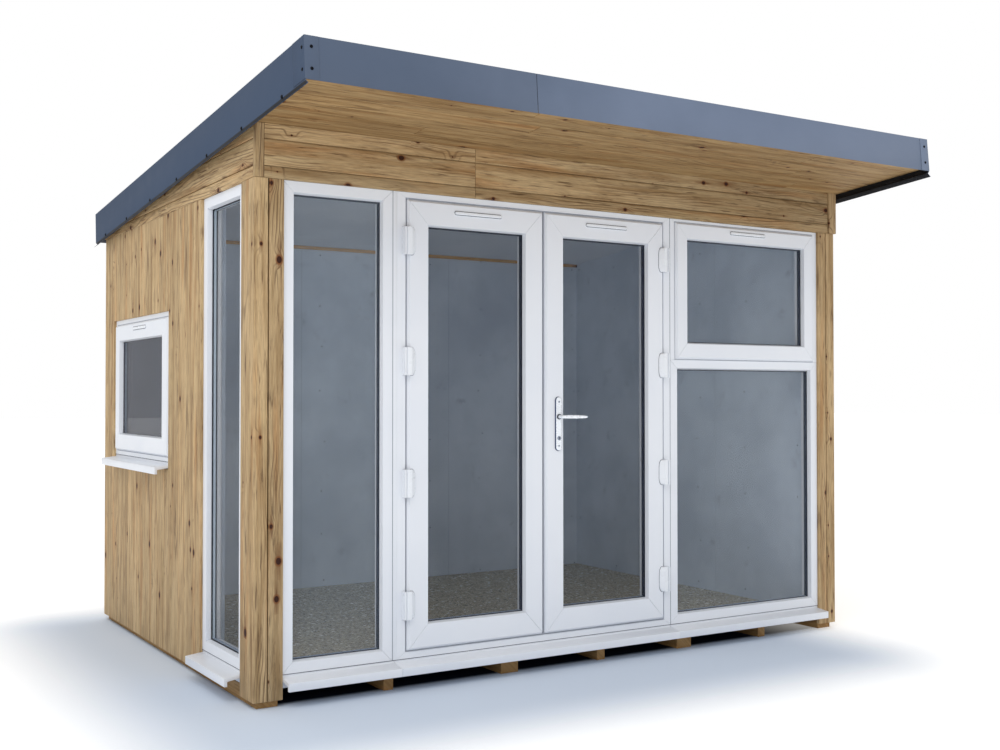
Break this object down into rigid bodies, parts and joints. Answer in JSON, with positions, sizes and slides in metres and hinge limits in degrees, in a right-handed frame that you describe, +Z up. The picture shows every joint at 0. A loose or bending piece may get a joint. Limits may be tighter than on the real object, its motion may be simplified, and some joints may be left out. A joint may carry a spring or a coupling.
{
  "type": "garden office pod",
  "caption": "Insulated timber garden room under an overhanging mono-pitch roof, with a pair of glazed doors, full-height fixed lights, a top-hung opener and a side window.",
  "frame": {"origin": "middle of the overall width and depth, at ground level under the bearers", "axes": "+X to the right along the glazed front seen from outside, +Y from the front to the back, +Z up"},
  "size_m": [3.344, 3.0048, 2.5003],
  "materials": {
    "redwood": "clear-treated softwood",
    "post_wood": "clear-treated knotty softwood",
    "soffit_wood": "clear-treated softwood",
    "framing": "sawn softwood and insulation",
    "bearer_wood": "treated sawn softwood",
    "deck_board": "board",
    "vinyl": "speckled vinyl sheet",
    "lining_board": "painted board",
    "roof_core": "insulated panel",
    "membrane": "matt roofing membrane",
    "slate_metal": "satin slate coating",
    "white_frame": "white satin uPVC",
    "white_trim": "white satin",
    "clear_glass": "clear",
    "handle_metal": "satin chrome"
  },
  "bodies": {
    "pod": {"back_cladding": "redwood", "back_fascia": "slate_metal", "back_lining": "lining_board", "back_wall_core": "framing", "casement_frame": "white_frame", "ceiling_boards": "lining_board", "corner_caps": "slate_metal", "coupling_post": "white_frame", "door_frame": "white_frame", "fixed_light_frame": "white_frame", "fixed_light_glass": "clear_glass", "floor_bearers": "bearer_wood", "floor_covering": "vinyl", "floor_deck": "deck_board", "frame_hinges": "white_trim", "front_fascia": "slate_metal", "front_header": "framing", "front_sills": "white_frame", "gable_boards": "redwood", "head_boards": "redwood", "left_cladding": "redwood", "left_corner_post": "post_wood", "left_fascia": "slate_metal", "left_front_board": "post_wood", "left_lining": "lining_board", "left_wall_core": "framing", "lintel_board": "redwood", "lower_light_glass": "clear_glass", "opener_glass": "clear_glass", "opener_sash": "white_frame", "right_cladding": "redwood", "right_corner_post": "post_wood", "right_fascia": "slate_metal", "right_front_board": "post_wood", "right_lining": "lining_board", "right_wall_core": "framing", "roof_membrane": "membrane", "roof_panel": "roof_core", "side_light_frame": "white_frame", "side_light_glass": "clear_glass", "side_light_sill": "white_frame", "side_window_frame": "white_frame", "side_window_glass": "clear_glass", "side_window_sash": "white_frame", "side_window_sill": "white_frame", "soffit_boards": "soffit_wood", "window_vents": "white_trim"},
    "left_door": {"left_door_leaf": "white_frame", "left_door_glass": "clear_glass", "left_door_hinges": "white_trim", "left_door_vent": "white_trim"},
    "right_door": {"right_door_leaf": "white_frame", "right_door_glass": "clear_glass", "right_door_hinges": "white_trim", "right_door_vent": "white_trim", "handle_plates": "handle_metal"},
    "door_lever": {"door_lever": "handle_metal"}
  },
  "joints": [
    {"name": "left_door_hinge", "type": "hinge", "parent": "pod", "child": "left_door", "pos_m": [-0.932, -0.91906, 1.11], "axis": [0, 0, -1], "range_deg": [0, 100]},
    {"name": "right_door_hinge", "type": "hinge", "parent": "pod", "child": "right_door", "pos_m": [0.464, -0.91906, 1.11], "axis": [0, 0, 1], "range_deg": [0, 100]},
    {"name": "lever_turn", "type": "hinge", "parent": "right_door", "child": "door_lever", "pos_m": [-0.1615, -0.90956, 1.134], "axis": [0, 1, 0], "range_deg": [0, 35], "stiffness_Nm_per_rad": 2, "springref_deg": -20.05}
  ]
}
